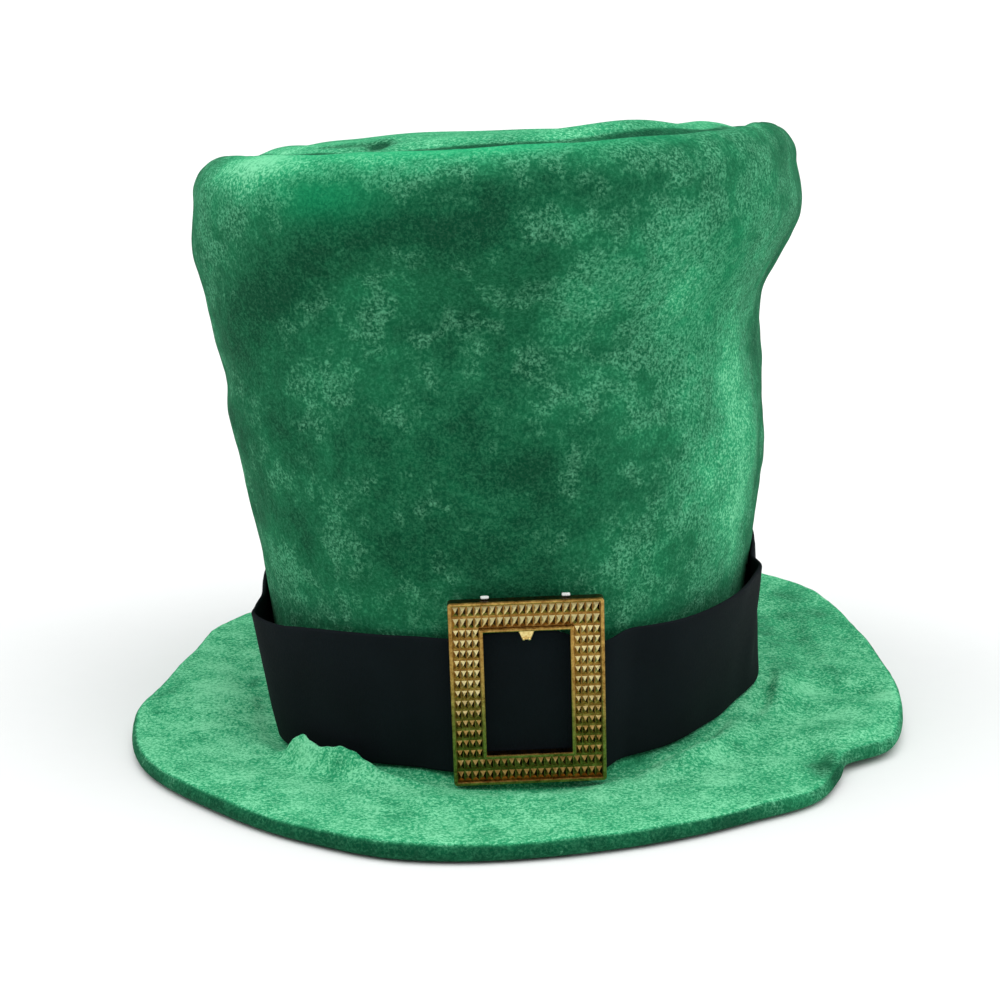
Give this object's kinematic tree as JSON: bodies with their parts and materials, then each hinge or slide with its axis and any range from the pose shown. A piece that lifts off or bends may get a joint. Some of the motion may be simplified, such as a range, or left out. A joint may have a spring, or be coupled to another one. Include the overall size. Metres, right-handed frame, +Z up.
{
  "type": "leprechaun hat",
  "caption": "Tall flared plush costume hat with a flat top, wide padded brim, black hat band and rectangular gilt buckle.",
  "frame": {"origin": "on the surface that the brim rests on, under the middle of the brim's outline", "axes": "+Z up along the crown, -Y out of the front through the buckle, +X to the right of someone who faces the front"},
  "size_m": [0.2866, 0.335, 0.2252],
  "materials": {
    "plush": "crushed short-pile green plush with a soft sheen",
    "band_cloth": "matte black brushed cloth",
    "gilt": "gold metallised plastic, studded, with smooth lips",
    "white_nylon": "translucent white nylon"
  },
  "bodies": {
    "root": {"crown_wall": "plush", "crown_tip": "plush", "brim": "plush", "band": "band_cloth", "buckle": "gilt", "fastener_left": "white_nylon", "fastener_right": "white_nylon"}
  },
  "joints": []
}
